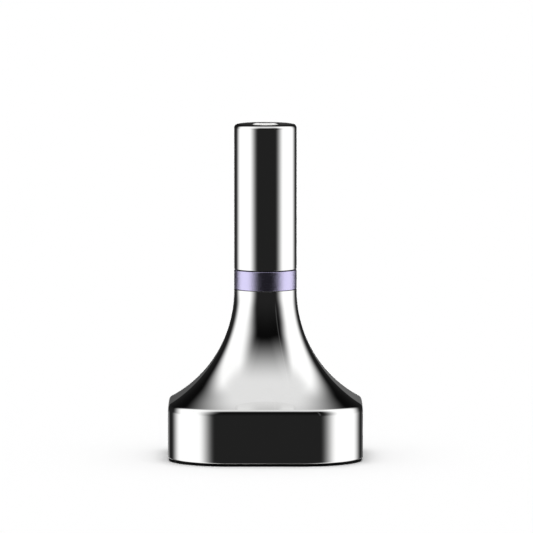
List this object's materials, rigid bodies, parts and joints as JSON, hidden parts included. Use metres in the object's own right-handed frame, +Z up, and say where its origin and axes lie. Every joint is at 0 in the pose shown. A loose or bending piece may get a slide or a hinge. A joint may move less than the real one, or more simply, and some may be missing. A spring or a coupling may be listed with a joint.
{
  "type": "airbrush holder stand",
  "caption": "Weighted bench stand for an airbrush: rounded-square chrome foot that flares into a round neck, satin lavender ring and straight chrome post with a round socket in its top.",
  "frame": {"origin": "centre of the foot's underside, where the post's axis meets the bench", "axes": "+Z up along the post, -Y towards the front; the foot's sides lie along X and Y"},
  "size_m": [0.07, 0.07, 0.12],
  "materials": {
    "chrome_casting": "mirror",
    "chrome_tube": "mirror",
    "lavender_anodising": "satin turned",
    "black_washer": "matte",
    "black_rubber": "matte",
    "black_silicone": "matte",
    "white_liner": "smooth",
    "turned_steel": "turned",
    "zinc_plated_steel": "plated",
    "cast_iron": "rough",
    "adhesive": "matte"
  },
  "bodies": {
    "root": {"base_casting": "chrome_casting", "lower_ring_washer": "black_washer", "accent_ring": "lavender_anodising", "upper_ring_washer": "black_washer", "ring_o_ring": "black_rubber", "post_tube": "chrome_tube", "socket_liner": "white_liner", "socket_bumper": "black_rubber", "post_end_plug": "turned_steel", "tie_stud": "zinc_plated_steel", "counterweight": "cast_iron", "clamp_washer": "zinc_plated_steel", "spring_washer": "zinc_plated_steel", "clamp_nut": "zinc_plated_steel", "damping_pad": "black_rubber", "bottom_plate": "turned_steel", "plate_screws": "zinc_plated_steel", "adhesive_sheet": "adhesive", "anti_slip_pad": "black_silicone"}
  },
  "joints": []
}
